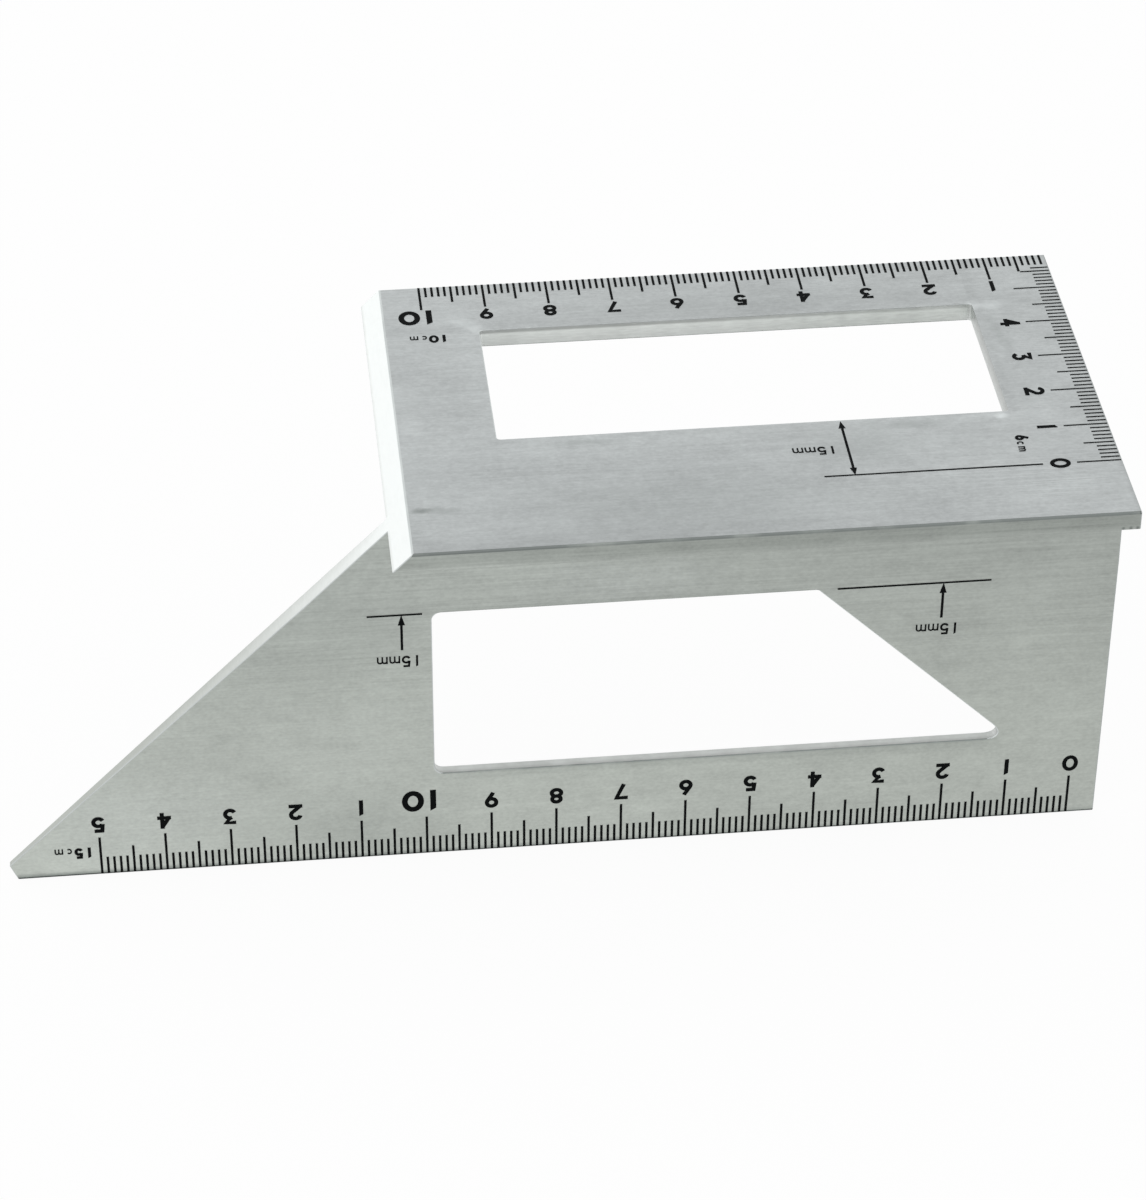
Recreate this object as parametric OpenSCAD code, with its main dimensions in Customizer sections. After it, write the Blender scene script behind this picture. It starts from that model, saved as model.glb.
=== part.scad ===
// Three-dimensional square for marking a line round the corner of a board.
// One metal section is the whole tool: a top plate with a lip, and a fence under it whose tapered
// front carries a scale down to a thin edge. The left end is cut on the slant, so that the edge of the
// fence marks 45 degrees. The scales and gauge marks are printed on as thin films of ink.
// Lengths are in millimetres and angles in degrees.
// The origin is the inner corner at the right end, where the underside of the top plate meets the rear
// face of the fence. X runs to the right along the corner, Y back under the plate, and Z up.

/* [Top plate] */
// Length of the upper surface, from the right end to the slanted end
plate_length = 106.2; // [85:0.1:140]
// Depth of the plate behind the rear face of the fence
plate_depth = 60; // [45:0.5:80]
// Thickness of the plate
plate_thickness = 3; // [2:0.1:5]
// Depth of the lip in front of the rear face of the fence
lip_depth = 14; // [8:0.5:24]

/* [Fence] */
// Height of the fence under the plate
fence_height = 62; // [50:0.5:80]
// Thickness of the fence under the plate
fence_thickness = 3.4; // [2.5:0.1:5]
// Thickness of the fence at its scale edge
scale_edge_thickness = 1; // [0.6:0.1:2]
// Height of the straight front of the fence, between the plate and the taper
straight_height = 13; // [8:0.5:14]
// Slope of the left end, from the scale edge
slant_angle = 45; // [43:1:60]
// Length taken off each side of the long tip
tip_cut = 4; // [2:0.5:6]
// Width of the break along the outer edges of the section
edge_break = 0.2; // [0.1:0.05:0.4]

/* [Windows] */
// Distance from each stop face to its window, which the gauge marks point out
gauge_distance = 15; // [14.6:0.1:18]
// Width of the plate to the right of its window
plate_right_rim = 14.2; // [12:0.1:25]
// Width of the plate to the left of its window
plate_left_rim = 14.7; // [8:0.1:25]
// Depth of the plate behind its window
plate_back_rim = 13.8; // [12:0.1:20]
// Radius of the corners of the window in the plate
plate_window_radius = 0.6; // [0.3:0.1:4]
// Width of the fence to the right of the foot of its window
fence_right_rim = 14.3; // [12:0.1:20]
// Distance from the left end of the upper surface to the left side of the fence's window
fence_window_offset = 3.2; // [0:0.1:20]
// Height of the fence under its window, where its scale is
fence_scale_band = 16; // [14.5:0.1:20]
// Radius of the square corners of the window in the fence
fence_window_radius = 1.4; // [0.5:0.1:4]
// Radius of the acute corner of the window in the fence
fence_window_acute_radius = 1.7; // [0.5:0.1:4]
// Radius of the wide corner of the window in the fence
fence_window_wide_radius = 0.8; // [0.3:0.1:4]

/* [Scales] */
// Distance between neighbouring lines of each scale
line_pitch = 1; // [0.9:0.01:1]
// Distance from the right end to the zero line of the fence's scale
fence_scale_start = 4.4; // [3:0.1:8]
// Width of each line on the fence and along the back
line_width = 0.38; // [0.2:0.01:0.5]
// Width of each line up the right side
side_line_width = 0.24; // [0.15:0.01:0.5]
// Thickness of the ink
ink_thickness = 0.05; // [0.03:0.01:0.1]
// Length of a single line on the fence
fence_short_line = 3.5; // [2:0.1:4]
// Length of each fifth line on the fence
fence_middle_line = 5.5; // [4.2:0.1:6]
// Length of each tenth line on the fence
fence_long_line = 7.5; // [6.2:0.1:8]
// Length of a single line on the plate
plate_short_line = 3; // [2:0.1:3.4]
// Length of each fifth line on the plate
plate_middle_line = 4.8; // [3.6:0.1:4.8]
// Length of each tenth line on the plate
plate_long_line = 6.8; // [5.2:0.1:7]

/* [Numerals] */
// Height of the numerals
numeral_height = 3.1; // [2.6:0.1:3.2]
// Width of the numerals
numeral_width = 2.1; // [1.8:0.1:2.4]
// Width of the noughts
nought_width = 2.5; // [1.9:0.1:2.8]
// Stroke of the numerals
numeral_stroke = 0.64; // [0.4:0.02:0.7]
// Height of the large ten
ten_height = 4.1; // [3:0.1:4.3]
// Width of the nought in the large ten
ten_nought_width = 3.4; // [2.6:0.1:3.6]
// Stroke of the large ten
ten_stroke = 0.9; // [0.5:0.05:1]
// Height of the numerals in the labels
label_height = 2.1; // [1.8:0.1:2.2]
// Stroke of the numerals in the labels of the scales
scale_label_stroke = 0.48; // [0.2:0.02:0.5]
// Height of the letters in the labels of the scales
scale_letter_height = 1.05; // [0.8:0.05:1.4]
// Stroke of the letters in the labels of the scales
scale_letter_stroke = 0.22; // [0.14:0.02:0.3]
// Stroke of the numerals in the labels of the gauge marks
gauge_label_stroke = 0.32; // [0.2:0.02:0.5]
// Height of the letters in the labels of the gauge marks
gauge_letter_height = 1.3; // [0.8:0.1:1.4]
// Stroke of the letters in the labels of the gauge marks
gauge_letter_stroke = 0.24; // [0.14:0.02:0.3]

/* [Gauge marks] */
// Width of the line of each gauge mark
gauge_line_width = 0.28; // [0.2:0.01:0.5]
// Length of the arrows on the fence
fence_arrow_length = 6.6; // [4:0.1:7]
// Width of an arrow's head
arrow_head_width = 1.05; // [0.7:0.05:1.4]
// Length of an arrow's head
arrow_head_length = 1.9; // [1:0.1:2.4]
// Width of an arrow's shaft
arrow_shaft_width = 0.38; // [0.2:0.02:0.5]

/* [Labels] */
// What the label at the left end of the fence's scale says
fence_scale_words = "15cm"; // [12cm, 13cm, 14cm, 15cm, 16cm, 17cm]
// What the label of the scale along the back says
back_scale_words = "10cm"; // [8cm, 9cm, 10cm, 11cm, 12cm, 13cm]
// What the label of the side scale says
side_scale_words = "6cm"; // [4cm, 5cm, 6cm, 7cm, 8cm]
// What the labels of the gauge marks say
gauge_words = "15mm"; // [15mm, 16mm, 17mm, 18mm]

/* [Hidden] */

metal_colour = "lightsteelblue";
ink_colour = "black";

// How far a cut runs past the face that it opens
cut_overrun = 1;
// Smoothness of the window corners and of the rings in the numerals
corner_fn = 48;
// Number of steps along half a turn of a stroke
half_turn_steps = 12;
// A stroke's outer corner reaches at most this many half widths from its centreline
mitre_limit_share = 1.5;

// The slanted end and its tip
slope = 1 / tan(slant_angle);
tip = [-plate_length - (plate_thickness + fence_height) * slope, -fence_height];
tip_above = tip + tip_cut * [cos(slant_angle), sin(slant_angle)];
tip_below = tip + tip_cut * [1, 0];
tip_run = (tip_below - tip_above) * cut_overrun / (tip_above.y - tip_below.y);
slant_top_run = [cut_overrun * slope, cut_overrun];

// The tapered front of the fence
taper_height = fence_height - straight_height;
taper_angle = atan((fence_thickness - scale_edge_thickness) / taper_height);

// The windows: left side and foot or front, then right side and top or back
plate_window_near = [-plate_length + plate_left_rim, gauge_distance];
plate_window_far = [-plate_right_rim, plate_depth - plate_back_rim];
fence_window_left = -plate_length + fence_window_offset;
fence_window_foot = fence_height - fence_scale_band;
// The corner at the right end of the top side of the window in the fence
fence_window_corner = -fence_right_rim - (fence_window_foot - gauge_distance) * slope;

// Number of line spaces from one numeral to the next, and the length that they take
numeral_step = 10;
numeral_pitch = numeral_step * line_pitch;
// Room left past the last numeral of the scales on the fence and along the back
fence_scale_margin = 10;
back_scale_margin = 5;
// Room left between the last line of the side scale and the lines of the back scale
side_scale_margin = 0.5;
// Number of line spaces on each scale, in whole steps on the first two
fence_scale_spaces =
    numeral_step * floor((-tip.x - fence_scale_start - fence_scale_margin) / numeral_pitch);
back_scale_spaces = numeral_step * floor((plate_length - back_scale_margin) / numeral_pitch);
side_scale_spaces = floor((plate_depth - plate_short_line - side_scale_margin) / line_pitch);

// From the tenth lines of each scale to its numerals and to its large ten
fence_numeral_gap = 1;
fence_ten_gap = 1.2;
back_numeral_gap = 0.6;
back_ten_gap = 0.3;
side_numeral_gap = 0.95;
// The rows of print on the fence, up from the scale edge
fence_numeral_foot = fence_long_line + fence_numeral_gap + numeral_height;
fence_ten_foot = fence_long_line + fence_ten_gap + ten_height;
fence_label_foot = 5.6;
fence_label_start = 1.7;
// The rows of print on the plate, in from the back edge and from the right end
back_numeral_foot = plate_long_line + back_numeral_gap;
back_ten_foot = plate_long_line + back_ten_gap;
back_label_gap = 3.4;
back_label_foot = back_ten_foot + ten_height + back_label_gap;
back_label_start = 2.9;
side_numeral_foot = plate_long_line + side_numeral_gap + numeral_height;
side_label_gap = 1.75;
side_label_foot = side_numeral_foot + side_label_gap + label_height;
side_label_centre = 7.4;
// From the tenth line to the one and to the nought of a large ten
ten_one_offset = 1.05;
ten_nought_offset = 2.05;

// The left gauge mark on the fence: its line starts this far to the left of the window, and its
// arrow is so far from that start
left_gauge_gap = 1.4;
left_gauge_length = 8.2;
left_gauge_arrow_place = 3.1;
// The right gauge mark on the fence: its line starts this far to the right of the window's corner,
// and its arrow is so far from its other end
right_gauge_gap = 2.9;
right_gauge_length = 23.2;
right_gauge_arrow_place = 7.2;
// From an arrow on the fence to the first numeral of its label, and from its tail down to the label
fence_gauge_label_lead = 2.2;
fence_gauge_label_drop = 1.15;
// The gauge mark on the plate: its line starts this far to the left of the side scale's numerals,
// and its arrow is so far from its other end
plate_gauge_gap = 1.05;
plate_gauge_length = 32.6;
plate_gauge_arrow_place = 4.6;
// From the tip of its arrow to the window, and from its arrow to the first numeral of its label
plate_gauge_arrow_gap = 0.4;
plate_gauge_label_lead = 2.3;
plate_gauge_label_foot = 8;
// Where the gauge marks on the fence and on the plate have their arrows, from the right end
left_gauge_arrow = fence_window_left - left_gauge_gap - left_gauge_arrow_place;
right_gauge_arrow =
    fence_window_corner + right_gauge_gap + right_gauge_length - right_gauge_arrow_place;
plate_gauge_right = -side_numeral_foot - plate_gauge_gap;
plate_gauge_arrow = plate_gauge_right - plate_gauge_length + plate_gauge_arrow_place;

// The cells of the labels
label_numeral_width = 1.35;
label_nought_width = 1.55;
label_numeral_cell = 1.6;
letter_c_cell = 1.3;
letter_m_cell = 1.85;
// Widths of the letters, as shares of their height
letter_c_share = 0.8;
letter_m_share = 1.24;

// Places of the strokes, as shares of the width and height between their centrelines
four_stem_share = 0.72;
four_slant_shares = [[0.72, 1], [0, 0.27]];
four_bar_share = 0.27;
five_flag_shares = [[0.94, 1], [0.14, 1], [0.05, 0.46]];
seven_shares = [[-0.2, 1], [1, 1], [0.24, -0.1]];
six_tail_shares = [0.68, 1.08];
three_flag_shares = [[-0.1, 1], [0.94, 1], [0.42, 0.58]];
lower_bowl_share = 0.31;
// The top of a one falls away to the left by this share of its width
one_drop_share = 0.6;
eight_waist_share = 0.52;
eight_top_width_share = 0.9;
m_arch_share = 0.25;
// Angles at which the round strokes start and end
two_hook_angles = [165, -45];
three_bowl_angles = [-155, 115];
five_bowl_angles = [-155, 145];
c_angles = [45, 315];

function unit(v) = v / norm(v);

// Corner p between its neighbours a and b
function half_angle(a, p, b) = acos(unit(a - p) * unit(b - p)) / 2;
function tangent_points(a, p, b, r) =
    let (reach = r / tan(half_angle(a, p, b)))
    [p + reach * unit(a - p), p + reach * unit(b - p)];
function corner_centre(a, p, b, r) =
    p + unit(unit(a - p) + unit(b - p)) * r / sin(half_angle(a, p, b));
function neighbours(points, i) =
    let (n = len(points)) [points[(i + n - 1) % n], points[(i + 1) % n]];

// An outline whose corner i is cut back by breaks[i] along both sides
function broken_outline(points, breaks) = [
    for (i = [0 : len(points) - 1])
        let (p = points[i], sides = neighbours(points, i))
        each breaks[i] == 0 ? [p] : [for (side = sides) p + breaks[i] * unit(side - p)]
];

// Points along part of an ellipse
function arc(centre, radii, from, to) =
    let (steps = ceil(abs(to - from) / 180 * half_turn_steps))
    [
        for (i = [0 : steps])
            let (t = from + (to - from) * i / steps)
            centre + [radii.x * cos(t), radii.y * sin(t)]
    ];

function ellipse(centre, radii) = [
    for (i = [1 : 2 * half_turn_steps])
        let (t = i * 180 / half_turn_steps)
        centre + [radii.x * cos(t), radii.y * sin(t)]
];

// One side of a stroke along a path, with its corners cut short past the mitre limit
function stroke_side(path, away) = [
    for (i = [0 : len(path) - 1])
        let (
            here = path[i],
            before = i > 0 ? unit(here - path[i - 1]) : unit(path[1] - here),
            after = i < len(path) - 1 ? unit(path[i + 1] - here) : before,
            middle = unit(before + after),
            mitre = min(1 / (middle * before), mitre_limit_share)
        )
        here + away * mitre * [-middle.y, middle.x]
];
function reversed(list) = [for (i = [len(list) - 1 : -1 : 0]) list[i]];
function placed(shares, size) = [for (p = shares) [p.x * size.x, p.y * size.y]];

// Where the straight tail of a six leaves its bowl
function tail_start(centre, r, end) =
    let (reach = end - centre, turn = atan2(reach.y, reach.x) + acos(r / norm(reach)))
    centre + r * [cos(turn), sin(turn)];

// The lines of a scale, by how long they are
function tenth_lines(first, last) = [for (k = [first : last]) if (k % numeral_step == 0) k];
function fifth_lines(first, last) = [
    for (k = [first : last]) if (k % numeral_step == numeral_step / 2) k
];
function single_lines(first, last) = [for (k = [first : last]) if (k % (numeral_step / 2) != 0) k];

// Sum of the cells before cell i
function cell_start(cells, i) = i == 0 ? 0 : cell_start(cells, i - 1) + cells[i - 1];
function cell_of(sign) =
    sign == "m" ? letter_m_cell
    : sign == "c" ? letter_c_cell
    : label_numeral_cell;

module stroke(path, width) {
    polygon(concat(stroke_side(path, width / 2), reversed(stroke_side(path, -width / 2))));
}

module ring(centre, radii, width) {
    half = [width, width] / 2;
    difference() {
        polygon(ellipse(centre, radii + half));
        polygon(ellipse(centre, radii - half));
    }
}

// The numerals stand on y = 0 and are centred on x = 0. Inside them, size is the width and height
// between the centrelines of the strokes, and the corner of that box is the origin.
module bar(size, level, width) {
    translate([-width / 2, level - width / 2])
        square([size.x + width, width]);
}

module nought(size, width) {
    ring(size / 2, size / 2, width);
}

module one(size, width) {
    left = (size.x - width) / 2;
    top = size.y + width / 2;
    polygon([
        [left, -width / 2],
        [left + width, -width / 2],
        [left + width, top],
        [left, top - one_drop_share * width],
    ]);
}

module two(size, width) {
    r = size.x / 2;
    hook = arc([r, size.y - r], [r, r], two_hook_angles[0], two_hook_angles[1]);
    stroke(concat(hook, [[0, 0]]), width);
    bar(size, 0, width);
}

module three(size, width) {
    bowl = [size.x / 2, lower_bowl_share * size.y];
    stroke(placed(three_flag_shares, size), width);
    stroke(arc(bowl, bowl, three_bowl_angles[0], three_bowl_angles[1]), width);
}

module four(size, width) {
    translate([four_stem_share * size.x - width / 2, -width / 2])
        square([width, size.y + width]);
    stroke(placed(four_slant_shares, size), width);
    bar(size, four_bar_share * size.y, width);
}

module five(size, width) {
    bowl = [size.x / 2, lower_bowl_share * size.y];
    stroke(placed(five_flag_shares, size), width);
    stroke(arc(bowl, bowl, five_bowl_angles[0], five_bowl_angles[1]), width);
}

module six(size, width) {
    bowl = [size.x, size.x] / 2;
    end = [six_tail_shares.x * size.x, six_tail_shares.y * size.y];
    ring(bowl, bowl, width);
    stroke([tail_start(bowl, bowl.x, end), end], width);
}

module seven(size, width) {
    stroke(placed(seven_shares, size), width);
}

module eight(size, width) {
    waist = eight_waist_share * size.y;
    bottom = [size.x, waist] / 2;
    top = [eight_top_width_share * size.x, size.y - waist] / 2;
    ring([size.x / 2, bottom.y], bottom, width);
    ring([size.x / 2, size.y - top.y], top, width);
}

module nine(size, width) {
    translate(size)
        rotate(180)
            six(size, width);
}

module letter_c(size, width) {
    stroke(arc(size / 2, size / 2, c_angles[0], c_angles[1]), width);
}

module letter_m(size, width) {
    r = m_arch_share * size.x;
    translate([-width / 2, -width / 2])
        square([width, size.y + width]);
    for (x = [r, 3 * r])
        stroke(concat(arc([x, size.y - r], [r, r], 180, 0), [[x + r, -width / 2]]), width);
}

module sign_shape(sign, size, width) {
    if (sign == "0") nought(size, width);
    if (sign == "1") one(size, width);
    if (sign == "2") two(size, width);
    if (sign == "3") three(size, width);
    if (sign == "4") four(size, width);
    if (sign == "5") five(size, width);
    if (sign == "6") six(size, width);
    if (sign == "7") seven(size, width);
    if (sign == "8") eight(size, width);
    if (sign == "9") nine(size, width);
    if (sign == "c") letter_c(size, width);
    if (sign == "m") letter_m(size, width);
}

// A numeral or letter of a whole width and height, standing on y = 0 and centred on x = 0
module printed(sign, whole, width) {
    size = whole - [width, width];
    linear_extrude(ink_thickness)
        translate([-size.x / 2, width / 2])
            sign_shape(sign, size, width);
}

module scale_numeral(k) {
    printed(str(k), [k == 0 ? nought_width : numeral_width, numeral_height], numeral_stroke);
}

module large_ten() {
    translate([-ten_one_offset, 0, 0])
        printed("1", [ten_nought_width, ten_height], ten_stroke);
    translate([ten_nought_offset, 0, 0])
        printed("0", [ten_nought_width, ten_height], ten_stroke);
}

// A label starts at the centre of its first sign
module label(signs, numeral_line, letter_height, letter_line) {
    cells = [for (sign = signs) cell_of(sign)];
    for (i = [0 : len(signs) - 1])
        translate([cell_start(cells, i) + (cells[i] - cells[0]) / 2, 0, 0])
            if (signs[i] == "m" || signs[i] == "c")
                label_letter(signs[i], letter_height, letter_line);
            else
                label_numeral(signs[i], numeral_line);
}

module label_letter(sign, height, width) {
    share = sign == "m" ? letter_m_share : letter_c_share;
    printed(sign, [share * height, height], width);
}

module label_numeral(sign, width) {
    printed(sign, [sign == "0" ? label_nought_width : label_numeral_width, label_height], width);
}

module scale_label(signs) {
    label(signs, scale_label_stroke, scale_letter_height, scale_letter_stroke);
}

module gauge_label() {
    label(gauge_words, gauge_label_stroke, gauge_letter_height, gauge_letter_stroke);
}

// Lines that start on y = 0 and run up, side by side along -x
module line_row(lines, length, width) {
    for (k = lines)
        translate([-k * line_pitch - width / 2, edge_break, 0])
            cube([width, length - edge_break, ink_thickness]);
}

// A triangle that points along +y, with its tip at the origin
module arrow_head() {
    half = arrow_head_width / 2;
    polygon([[0, 0], [-half, -arrow_head_length], [half, -arrow_head_length]]);
}

module flat_line(left, level, length) {
    translate([left, level - gauge_line_width / 2])
        square([length, gauge_line_width]);
}

// The print on the fence lies on its tapered front: x is the part's own, y runs up from the scale edge
module on_fence() {
    color(ink_colour)
        translate([0, -scale_edge_thickness, -fence_height])
            rotate([90 + taper_angle, 0, 0])
                children();
}

// The print on the plate lies on its upper surface: x and y are the part's own
module on_plate() {
    color(ink_colour)
        translate([0, 0, plate_thickness])
            children();
}

// Height up the tapered front of a place that lies so far under the plate
function up_front(under_plate) = (fence_height - under_plate) / cos(taper_angle);

// From the scale along the back edge: lines start at the back edge and run forward
module from_back_edge() {
    on_plate()
        translate([0, plate_depth, 0])
            mirror([0, 1, 0])
                children();
}

module section() {
    points = [
        [plate_depth, plate_thickness],
        [-lip_depth, plate_thickness],
        [-lip_depth, 0],
        [-fence_thickness, 0],
        [-fence_thickness, -straight_height],
        [-scale_edge_thickness, -fence_height],
        [0, -fence_height],
        [0, 0],
        [plate_depth, 0],
    ];
    outer = edge_break;
    breaks = [outer, outer, outer, 0, 0, outer, outer, 0, outer];
    polygon(broken_outline(points, breaks));
}

// What is left of the section by the slanted end, seen from the front
module side_outline() {
    polygon([
        [cut_overrun, plate_thickness + cut_overrun],
        [-plate_length, plate_thickness] + slant_top_run,
        tip_above,
        tip_below + tip_run,
        [cut_overrun, -fence_height - cut_overrun],
    ]);
}

// A prism with round corners, on z = 0
module rounded_prism(points, radii, height) {
    linear_extrude(height)
        polygon([
            for (i = [0 : len(points) - 1])
                let (sides = neighbours(points, i))
                each tangent_points(sides[0], points[i], sides[1], radii[i])
        ]);
    for (i = [0 : len(points) - 1])
        let (sides = neighbours(points, i))
            translate(corner_centre(sides[0], points[i], sides[1], radii[i]))
                cylinder(r = radii[i], h = height, $fn = corner_fn);
}

module plate_window() {
    near = plate_window_near;
    far = plate_window_far;
    r = plate_window_radius;
    translate([0, 0, -cut_overrun])
        rounded_prism(
            [near, [far.x, near.y], far, [near.x, far.y]],
            [r, r, r, r],
            plate_thickness + 2 * cut_overrun
        );
}

// The right side of this window slants the other way from the end, by the same angle
module fence_window() {
    translate([0, cut_overrun, 0])
        rotate([90, 0, 0])
            rounded_prism(
                [
                    [fence_window_left, -fence_window_foot],
                    [-fence_right_rim, -fence_window_foot],
                    [fence_window_corner, -gauge_distance],
                    [fence_window_left, -gauge_distance],
                ],
                [
                    fence_window_radius,
                    fence_window_acute_radius,
                    fence_window_wide_radius,
                    fence_window_radius,
                ],
                fence_thickness + 2 * cut_overrun
            );
}

module body() {
    color(metal_colour)
        difference() {
            intersection() {
                translate([tip.x, 0, 0])
                    rotate([90, 0, 90])
                        linear_extrude(-tip.x)
                            section();
                translate([0, plate_depth + cut_overrun, 0])
                    rotate([90, 0, 0])
                        linear_extrude(plate_depth + lip_depth + 2 * cut_overrun)
                            side_outline();
            }
            plate_window();
            fence_window();
        }
}

module fence_lines(lines, length) {
    on_fence()
        translate([-fence_scale_start, 0, 0])
            line_row(lines, length, line_width);
}

module fence_single_lines() {
    fence_lines(single_lines(0, fence_scale_spaces), fence_short_line);
}

module fence_fifth_lines() {
    fence_lines(fifth_lines(0, fence_scale_spaces), fence_middle_line);
}

module fence_tenth_lines() {
    fence_lines(tenth_lines(0, fence_scale_spaces), fence_long_line);
}

// The print on the fence reads from above, so it is turned half round
module fence_numerals() {
    tens = fence_scale_spaces / numeral_step;
    for (k = [0 : tens])
        let (x = fence_scale_start + k * numeral_pitch)
            let (foot = k == 10 ? fence_ten_foot : fence_numeral_foot)
                on_fence()
                    translate([-x, foot, 0])
                        rotate(180)
                            if (k == 10) large_ten();
                            else scale_numeral(k % 10);
}

module fence_scale_label() {
    end = fence_scale_start + fence_scale_spaces * line_pitch;
    on_fence()
        translate([-end - fence_label_start, fence_label_foot, 0])
            rotate(180)
                scale_label(fence_scale_words);
}

module fence_gauge_mark(left, length, arrow) {
    level = up_front(gauge_distance);
    on_fence()
        linear_extrude(ink_thickness) {
            flat_line(left, level, length);
            translate([arrow, level])
                arrow_head();
            translate([arrow - arrow_shaft_width / 2, level - fence_arrow_length])
                square([arrow_shaft_width, fence_arrow_length - arrow_head_length / 2]);
        }
}

module fence_gauge_label(arrow) {
    foot = up_front(gauge_distance) - fence_arrow_length - fence_gauge_label_drop;
    on_fence()
        translate([arrow + fence_gauge_label_lead, foot, 0])
            rotate(180)
                gauge_label();
}

module fence_left_gauge_mark() {
    left = fence_window_left - left_gauge_gap - left_gauge_length;
    fence_gauge_mark(left, left_gauge_length, left_gauge_arrow);
}

module fence_left_gauge_label() {
    fence_gauge_label(left_gauge_arrow);
}

module fence_right_gauge_mark() {
    left = fence_window_corner + right_gauge_gap;
    fence_gauge_mark(left, right_gauge_length, right_gauge_arrow);
}

module fence_right_gauge_label() {
    fence_gauge_label(right_gauge_arrow);
}

module back_single_lines() {
    from_back_edge()
        line_row(single_lines(1, back_scale_spaces), plate_short_line, line_width);
}

module back_fifth_lines() {
    from_back_edge()
        line_row(fifth_lines(1, back_scale_spaces), plate_middle_line, line_width);
}

module back_tenth_lines() {
    from_back_edge()
        line_row(tenth_lines(1, back_scale_spaces), plate_long_line, line_width);
}

module back_numerals() {
    tens = back_scale_spaces / numeral_step;
    for (k = [1 : tens])
        let (foot = k == 10 ? back_ten_foot : back_numeral_foot)
            on_plate()
                translate([-k * numeral_pitch, plate_depth - foot, 0])
                    rotate(180)
                        if (k == 10) large_ten();
                        else scale_numeral(k % 10);
}

module back_scale_label() {
    on_plate()
        translate([-back_scale_spaces * line_pitch + back_label_start, plate_depth - back_label_foot, 0])
            rotate(180)
                scale_label(back_scale_words);
}

// The scale up the right side: lines start at the right end and run left
module side_lines(lines, length) {
    on_plate()
        mirror([0, 1, 0])
            rotate(90)
                line_row(lines, length, side_line_width);
}

module side_single_lines() {
    side_lines(single_lines(0, side_scale_spaces), plate_short_line);
}

module side_fifth_lines() {
    side_lines(fifth_lines(0, side_scale_spaces), plate_middle_line);
}

module side_tenth_lines() {
    side_lines(tenth_lines(0, side_scale_spaces), plate_long_line);
}

module side_numerals() {
    back_numerals_front = plate_depth - back_numeral_foot - numeral_height;
    last = floor((back_numerals_front - numeral_width / 2) / numeral_pitch);
    for (k = [0 : last])
        on_plate()
            translate([-side_numeral_foot, k * numeral_pitch, 0])
                rotate(-90)
                    scale_numeral(k);
}

module side_scale_label() {
    on_plate()
        translate([-side_label_foot, side_label_centre, 0])
            rotate(-90)
                scale_label(side_scale_words);
}

module plate_gauge_mark() {
    reach = gauge_distance - plate_gauge_arrow_gap;
    on_plate()
        linear_extrude(ink_thickness) {
            flat_line(plate_gauge_right - plate_gauge_length, 0, plate_gauge_length);
            translate([plate_gauge_arrow, reach])
                arrow_head();
            translate([plate_gauge_arrow, 0])
                rotate(180)
                    arrow_head();
            translate([plate_gauge_arrow - arrow_shaft_width / 2, arrow_head_length / 2])
                square([arrow_shaft_width, reach - arrow_head_length]);
        }
}

module plate_gauge_label() {
    on_plate()
        translate([plate_gauge_arrow - plate_gauge_label_lead, plate_gauge_label_foot, 0])
            rotate(180)
                gauge_label();
}

body();
fence_single_lines();
fence_fifth_lines();
fence_tenth_lines();
fence_numerals();
fence_scale_label();
fence_left_gauge_mark();
fence_left_gauge_label();
fence_right_gauge_mark();
fence_right_gauge_label();
back_single_lines();
back_fifth_lines();
back_tenth_lines();
back_numerals();
back_scale_label();
side_single_lines();
side_fifth_lines();
side_tenth_lines();
side_numerals();
side_scale_label();
plate_gauge_mark();
plate_gauge_label();
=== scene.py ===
"""Looks of a three-dimensional square: its metal section, its print's finish, and a studio."""

import math

import bmesh
import bpy
from bpy.props import FloatProperty, FloatVectorProperty, IntProperty, PointerProperty
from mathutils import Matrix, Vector


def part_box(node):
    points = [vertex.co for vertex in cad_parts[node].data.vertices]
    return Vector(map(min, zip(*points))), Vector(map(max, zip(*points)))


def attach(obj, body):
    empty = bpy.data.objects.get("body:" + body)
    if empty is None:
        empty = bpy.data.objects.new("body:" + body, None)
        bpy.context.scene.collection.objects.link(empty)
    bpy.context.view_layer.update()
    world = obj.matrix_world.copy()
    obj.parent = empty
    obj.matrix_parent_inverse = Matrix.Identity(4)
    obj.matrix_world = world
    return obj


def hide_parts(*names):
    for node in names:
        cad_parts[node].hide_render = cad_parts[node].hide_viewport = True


bl_info = {
    "name": "Three-dimensional square",
    "version": (1, 0, 0),
    "blender": (4, 5, 0),
    "location": "3D View > Sidebar > Square",
    "description": "Models a marking square's metal section and finishes its metal and print",
    "category": "Object",
}

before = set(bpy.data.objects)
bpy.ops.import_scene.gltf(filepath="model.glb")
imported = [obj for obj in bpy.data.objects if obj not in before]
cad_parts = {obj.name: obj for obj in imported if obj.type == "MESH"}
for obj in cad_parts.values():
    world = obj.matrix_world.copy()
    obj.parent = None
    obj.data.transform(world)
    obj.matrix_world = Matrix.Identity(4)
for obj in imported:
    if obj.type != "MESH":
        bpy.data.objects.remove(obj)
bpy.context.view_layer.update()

MM = 0.001
BODY_NODE = "body"
BODY_LOW, BODY_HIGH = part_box(BODY_NODE)
PRINT_NODES = sorted(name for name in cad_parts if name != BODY_NODE)

# How far a cutter runs past the faces that it opens, how near counts as the same place, and how
# near two points are merged
OVERRUN = 2 * MM
NEAR = 0.01 * MM
MERGED = 0.001 * MM
# The least share of an edge's way that lies along an axis if it runs that way, the least of a
# normal if its face is square to that axis or leans towards it, and the most of one across it
RUNS_ALONG = 0.999
SQUARE_ON = 0.99
LEANS = 0.2
ACROSS = 0.1
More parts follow.
